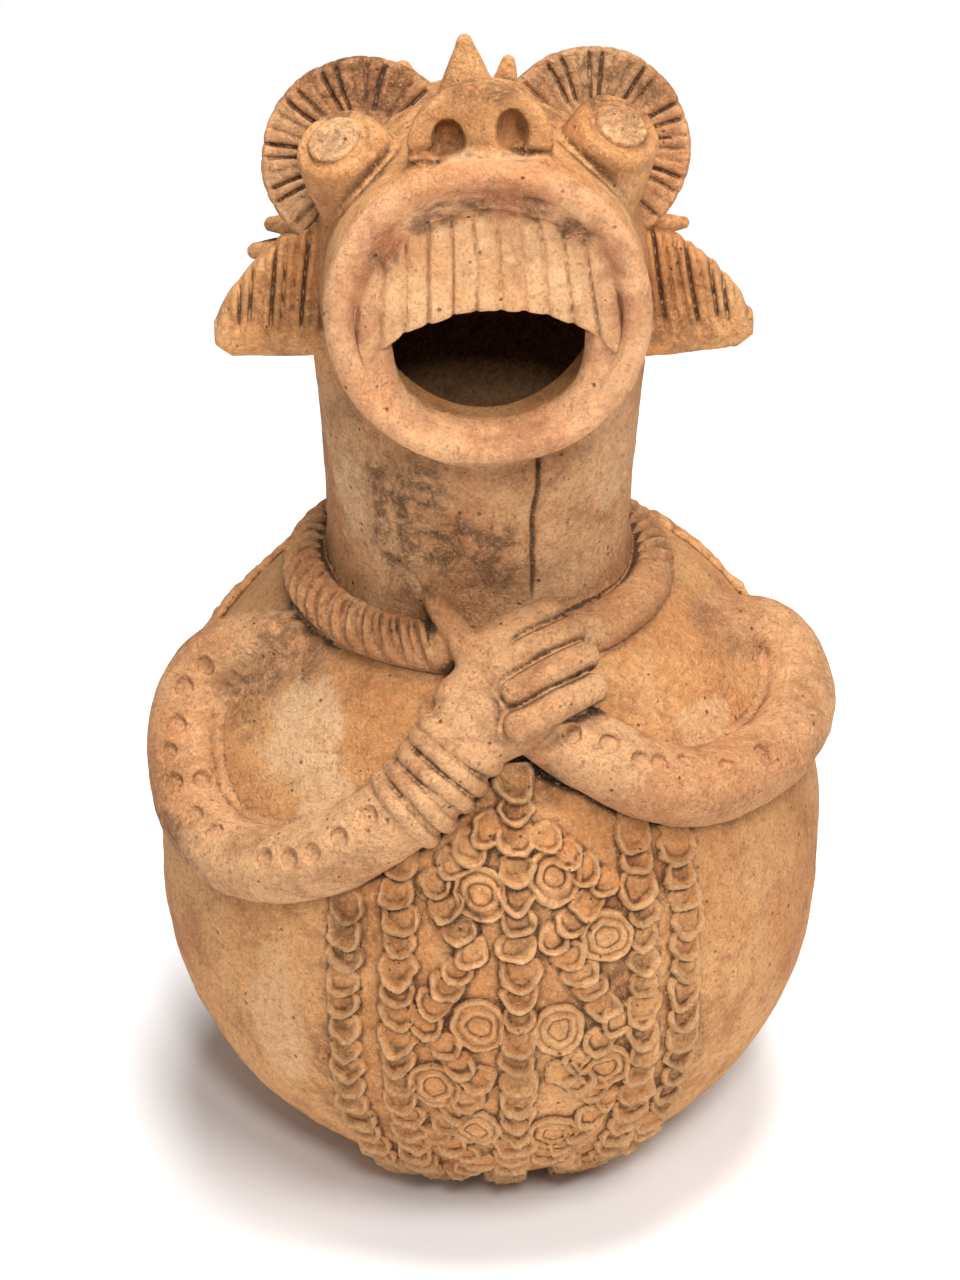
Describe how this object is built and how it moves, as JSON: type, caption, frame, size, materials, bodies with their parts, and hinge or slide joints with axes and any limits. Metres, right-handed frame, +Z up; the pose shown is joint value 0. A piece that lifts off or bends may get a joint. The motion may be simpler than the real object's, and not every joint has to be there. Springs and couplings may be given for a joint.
{
  "type": "figural clay vessel",
  "caption": "Hand-built terracotta vessel shaped as a squat creature: ball body, arms crossed on the chest, gaping round mouth as the opening and pressed pellets on the belly",
  "frame": {"origin": "centre of the flat resting face under the body", "axes": "+Z up, the creature looks along -Y, +X is to the right of someone who faces it"},
  "size_m": [0.184, 0.1824, 0.3317],
  "materials": {
    "tan_clay": "unglazed, scraped and burnished low-fired clay",
    "brown_clay": "unglazed low-fired clay, browned by smoke and handling",
    "red_clay": "unglazed clay rubbed with red earth",
    "pale_clay": "unglazed clay with a worn cream slip"
  },
  "bodies": {
    "root": {"body_bowl": "tan_clay", "body_shoulder": "tan_clay", "neck_tube": "brown_clay", "head_shell": "tan_clay", "mouth_lip": "red_clay", "upper_gum": "red_clay", "upper_teeth": "pale_clay", "snout": "tan_clay", "crest_spike_centre": "tan_clay", "left_eye_boss": "tan_clay", "right_eye_boss": "tan_clay", "left_eye_disc": "pale_clay", "right_eye_disc": "pale_clay", "left_fan": "brown_clay", "right_fan": "brown_clay", "left_leaf_ear": "tan_clay", "right_leaf_ear": "tan_clay", "crest_spike_left": "tan_clay", "crest_spike_right": "tan_clay", "mane_spikes_left": "tan_clay", "mane_spikes_right": "tan_clay", "necklace_coil": "brown_clay", "right_arm": "brown_clay", "left_arm": "brown_clay", "wrist_bracelets": "brown_clay", "hand_palm": "brown_clay", "hand_fingers": "brown_clay", "hand_thumb": "brown_clay", "pellet_column_centre": "tan_clay", "pellet_column_inner_left": "tan_clay", "pellet_column_far_left": "tan_clay", "pellet_column_inner_right": "tan_clay", "pellet_column_far_right": "tan_clay", "zigzag_left": "tan_clay", "zigzag_right": "tan_clay", "roundels_left": "tan_clay", "roundels_right": "tan_clay", "shoulder_garland_left": "tan_clay", "shoulder_garland_right": "tan_clay"}
  },
  "joints": []
}
